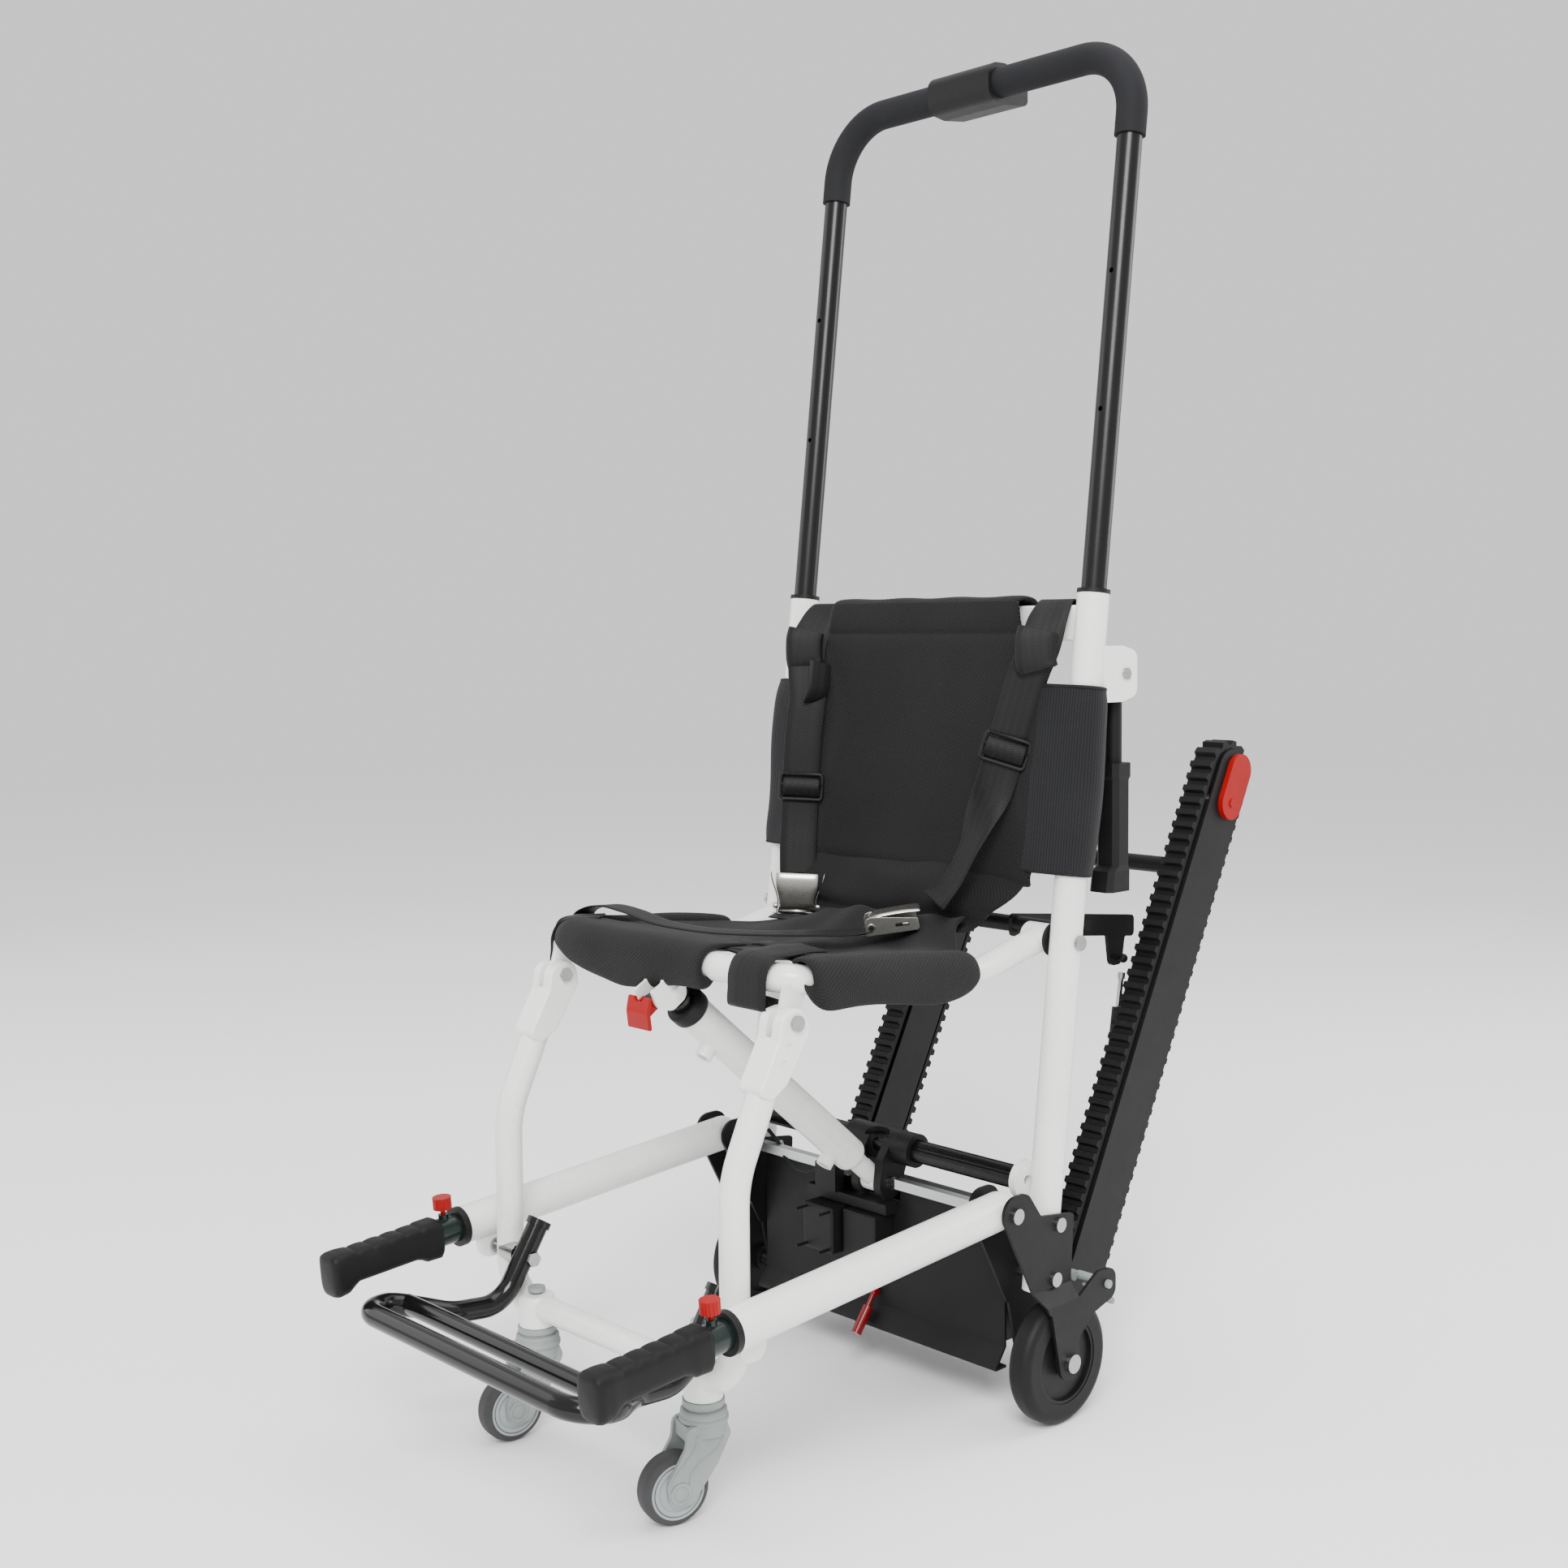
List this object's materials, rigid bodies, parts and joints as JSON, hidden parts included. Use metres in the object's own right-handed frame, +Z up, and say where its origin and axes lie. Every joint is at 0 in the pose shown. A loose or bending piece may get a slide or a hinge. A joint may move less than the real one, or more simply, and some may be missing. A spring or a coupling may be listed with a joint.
{
  "type": "powered stair chair",
  "caption": "Folding evacuation stair chair: tube frame, slung fabric seat and back, tall push handle, swivel casters, footrest and folding powered tracks.",
  "frame": {"origin": "on the floor, at the middle of the chair's length and width", "axes": "+Z up; +Y towards the back of the chair; +X towards the occupant's left"},
  "size_m": [0.57, 1.1466, 1.6279],
  "materials": {
    "white_paint": "gloss white enamel",
    "black_powder": "fine textured powder coat",
    "black_gloss": "gloss black enamel",
    "green_black": "satin dark green black",
    "steel_bolts": "zinc plated",
    "chrome_parts": "polished",
    "plain_aluminium": "satin",
    "black_plastic": "fine grain",
    "red_plastic": "moulded",
    "grey_plastic": "moulded",
    "light_grey_plastic": "moulded",
    "tyre_black": "solid rubber",
    "tyre_grey": "solid rubber",
    "belt_rubber": "ribbed",
    "foam_sleeve": "fine closed cell foam",
    "grip_rubber": "fine grain",
    "sling_fabric": "woven mesh",
    "webbing": "herringbone webbing"
  },
  "bodies": {
    "rear_frame": {"uprights": "white_paint", "handle_collars": "black_plastic", "upper_cross_tube": "white_paint", "lower_cross_tube": "black_powder", "strut_mount": "black_plastic", "seat_cross_tube": "black_powder", "outer_side_plates": "black_powder", "inner_side_plates": "black_powder", "frame_fasteners": "steel_bolts", "drive_box": "black_powder", "box_top_rail": "plain_aluminium", "battery_pack": "black_plastic", "motor": "plain_aluminium", "controller": "black_plastic", "motor_cable": "black_plastic", "back_sling": "sling_fabric", "back_buckle": "chrome_parts"},
    "handle": {"push_handle": "black_powder", "handle_foam": "foam_sleeve", "control_box": "black_plastic"},
    "rocker": {"rocker_switch": "red_plastic"},
    "rear_wheel_left": {"rear_tyre_left": "tyre_black", "rear_hub_left": "black_plastic"},
    "rear_wheel_right": {"rear_tyre_right": "tyre_black", "rear_hub_right": "black_plastic"},
    "seat_frame": {"seat_tube": "white_paint", "seat_sling": "sling_fabric", "seat_buckle": "chrome_parts"},
    "front_legs": {"leg_frame": "white_paint", "hinge_brackets": "white_paint", "leg_fasteners": "steel_bolts"},
    "side_rails": {"rail_left": "white_paint", "rail_right": "white_paint", "rail_collars": "black_plastic"},
    "front_handle_left": {"front_tube_left": "green_black", "front_grip_left": "grip_rubber"},
    "front_handle_right": {"front_tube_right": "green_black", "front_grip_right": "grip_rubber"},
    "knob_left": {"lock_knob_left": "red_plastic"},
    "knob_right": {"lock_knob_right": "red_plastic"},
    "fork_left": {"caster_fork_left": "grey_plastic"},
    "fork_right": {"caster_fork_right": "grey_plastic"},
    "caster_left": {"caster_wheel_left": "tyre_grey"},
    "caster_right": {"caster_wheel_right": "tyre_grey"},
    "strut_tube": {"strut_outer": "white_paint"},
    "strut_bar": {"strut_inner": "black_gloss"},
    "strut_release": {"strut_lever": "red_plastic"},
    "foot_loop": {"footrest": "black_gloss"},
    "lift_grip_left": {"rear_grip_left": "grip_rubber"},
    "lift_grip_right": {"rear_grip_right": "grip_rubber"},
    "tracks": {"track_frame": "black_powder", "track_belts": "belt_rubber", "track_covers": "red_plastic"},
    "rollers": {"top_rollers": "black_plastic"},
    "drive": {"drive_axle": "black_powder"},
    "gas_body": {"gas_cylinder": "black_gloss"},
    "gas_piston": {"gas_rod": "chrome_parts"},
    "pedal_left": {"brake_pedal_left": "grey_plastic"},
    "pedal_right": {"brake_pedal_right": "grey_plastic"},
    "tray_release": {"release_lever": "red_plastic"}
  },
  "joints": [
    {"name": "seat_fold", "type": "hinge", "parent": "rear_frame", "child": "seat_frame", "pos_m": [0, 0.13933, 0.562], "axis": [-1, 0, 0], "range_deg": [0, 70]},
    {"name": "leg_fold", "type": "hinge", "parent": "seat_frame", "child": "front_legs", "pos_m": [0, -0.26985, 0.5238], "axis": [-1, 0, 0], "range_deg": [-70, 1]},
    {"name": "rail_fold", "type": "hinge", "parent": "rear_frame", "child": "side_rails", "pos_m": [0, 0.02265, 0.265], "axis": [-1, 0, 0], "range_deg": [-1, 77.5]},
    {"name": "strut_swing", "type": "hinge", "parent": "rear_frame", "child": "strut_tube", "pos_m": [0, 0.06915, 0.243], "axis": [-1, 0, 0], "range_deg": [-1, 41.5]},
    {"name": "strut_extend", "type": "slide", "parent": "strut_tube", "child": "strut_bar", "axis": [0, -0.7557, 0.6549], "range_m": [-0.001, 0.256]},
    {"name": "strut_lever_press", "type": "hinge", "parent": "strut_bar", "child": "strut_release", "pos_m": [0, -0.28728, 0.51988], "axis": [-1, 0, 0], "range_deg": [0, 14], "stiffness_Nm_per_rad": 0.6, "springref_deg": -17.19},
    {"name": "handle_height", "type": "slide", "parent": "rear_frame", "child": "handle", "axis": [0, 0.1236, 0.9923], "range_m": [-0.25, 0]},
    {"name": "rocker_tilt", "type": "hinge", "parent": "handle", "child": "rocker", "pos_m": [0, 0.30099, 1.619], "axis": [1, 0, 0], "range_deg": [-6, 6], "stiffness_Nm_per_rad": 0.4},
    {"name": "rear_wheel_spin_left", "type": "hinge", "parent": "rear_frame", "child": "rear_wheel_left", "pos_m": [0.2585, 0.10465, 0.075], "axis": [1, 0, 0], "continuous": true},
    {"name": "front_handle_slide_left", "type": "slide", "parent": "side_rails", "child": "front_handle_left", "axis": [0, -0.997, -0.077], "range_m": [0, 0.18]},
    {"name": "lock_knob_pull_left", "type": "slide", "parent": "front_handle_left", "child": "knob_left", "axis": [0, -0.077, 0.997], "range_m": [0, 0.006], "stiffness_N_per_m": 600, "springref_m": -0.004},
    {"name": "caster_swivel_left", "type": "hinge", "parent": "front_legs", "child": "fork_left", "pos_m": [0.1475, -0.34485, 0.11], "axis": [0, 0, 1], "continuous": true},
    {"name": "caster_roll_left", "type": "hinge", "parent": "fork_left", "child": "caster_left", "pos_m": [0.13792, -0.38059, 0.038], "axis": [0.9659, -0.2588, 0], "continuous": true},
    {"name": "lift_grip_swing_left", "type": "hinge", "parent": "rear_frame", "child": "lift_grip_left", "pos_m": [0.243, 0.22865, 0.872], "axis": [1, 0, 0], "range_deg": [0, 100]},
    {"name": "brake_press_left", "type": "hinge", "parent": "rear_frame", "child": "pedal_left", "pos_m": [0.25, 0.17165, 0.153], "axis": [-1, 0, 0], "range_deg": [0, 16]},
    {"name": "rear_wheel_spin_right", "type": "hinge", "parent": "rear_frame", "child": "rear_wheel_right", "pos_m": [-0.2585, 0.10465, 0.075], "axis": [1, 0, 0], "continuous": true},
    {"name": "front_handle_slide_right", "type": "slide", "parent": "side_rails", "child": "front_handle_right", "axis": [0, -0.997, -0.077], "range_m": [0, 0.18]},
    {"name": "lock_knob_pull_right", "type": "slide", "parent": "front_handle_right", "child": "knob_right", "axis": [0, -0.077, 0.997], "range_m": [0, 0.006], "stiffness_N_per_m": 600, "springref_m": -0.004},
    {"name": "caster_swivel_right", "type": "hinge", "parent": "front_legs", "child": "fork_right", "pos_m": [-0.1475, -0.34485, 0.11], "axis": [0, 0, 1], "continuous": true},
    {"name": "caster_roll_right", "type": "hinge", "parent": "fork_right", "child": "caster_right", "pos_m": [-0.15265, -0.38149, 0.038], "axis": [0.9903, -0.1392, 0], "continuous": true},
    {"name": "lift_grip_swing_right", "type": "hinge", "parent": "rear_frame", "child": "lift_grip_right", "pos_m": [-0.243, 0.22865, 0.872], "axis": [1, 0, 0], "range_deg": [0, 100]},
    {"name": "brake_press_right", "type": "hinge", "parent": "rear_frame", "child": "pedal_right", "pos_m": [-0.25, 0.17165, 0.153], "axis": [-1, 0, 0], "range_deg": [0, 16]},
    {"name": "footrest_fold", "type": "hinge", "parent": "front_legs", "child": "foot_loop", "pos_m": [0, -0.35035, 0.206], "axis": [-1, 0, 0], "range_deg": [0, 82]},
    {"name": "track_fold", "type": "hinge", "parent": "rear_frame", "child": "tracks", "pos_m": [0, 0.20035, 0.1], "axis": [1, 0, 0], "range_deg": [0, 20.3]},
    {"name": "roller_spin", "type": "hinge", "parent": "tracks", "child": "rollers", "pos_m": [0, 0.52733, 0.73], "axis": [1, 0, 0], "continuous": true},
    {"name": "drive_spin", "type": "hinge", "parent": "rear_frame", "child": "drive", "pos_m": [0, 0.20035, 0.1], "axis": [1, 0, 0], "continuous": true},
    {"name": "gas_swing", "type": "hinge", "parent": "tracks", "child": "gas_body", "pos_m": [0.155, 0.34065, 0.335], "axis": [1, 0, 0], "range_deg": [-53.5, 1]},
    {"name": "gas_extend", "type": "slide", "parent": "gas_body", "child": "gas_piston", "axis": [0, 0.1601, 0.9871], "range_m": [-0.001, 0.009]},
    {"name": "tray_release_pull", "type": "hinge", "parent": "rear_frame", "child": "tray_release", "pos_m": [-0.005, 0.06765, 0.098], "axis": [-1, 0, 0], "range_deg": [0, 35], "stiffness_Nm_per_rad": 0.2, "springref_deg": -22.92}
  ],
  "couplings": [
    {"joint": "leg_fold", "follows": "seat_fold", "ratio": -0.99864},
    {"joint": "rail_fold", "follows": "seat_fold", "ratio": 1.1025},
    {"joint": "strut_swing", "follows": "seat_fold", "ratio": 0.58488},
    {"joint": "strut_extend", "follows": "seat_fold", "m_per_rad": 0.20779},
    {"joint": "gas_swing", "follows": "track_fold", "ratio": -2.5916},
    {"joint": "gas_extend", "follows": "track_fold", "m_per_rad": 0.02312}
  ]
}
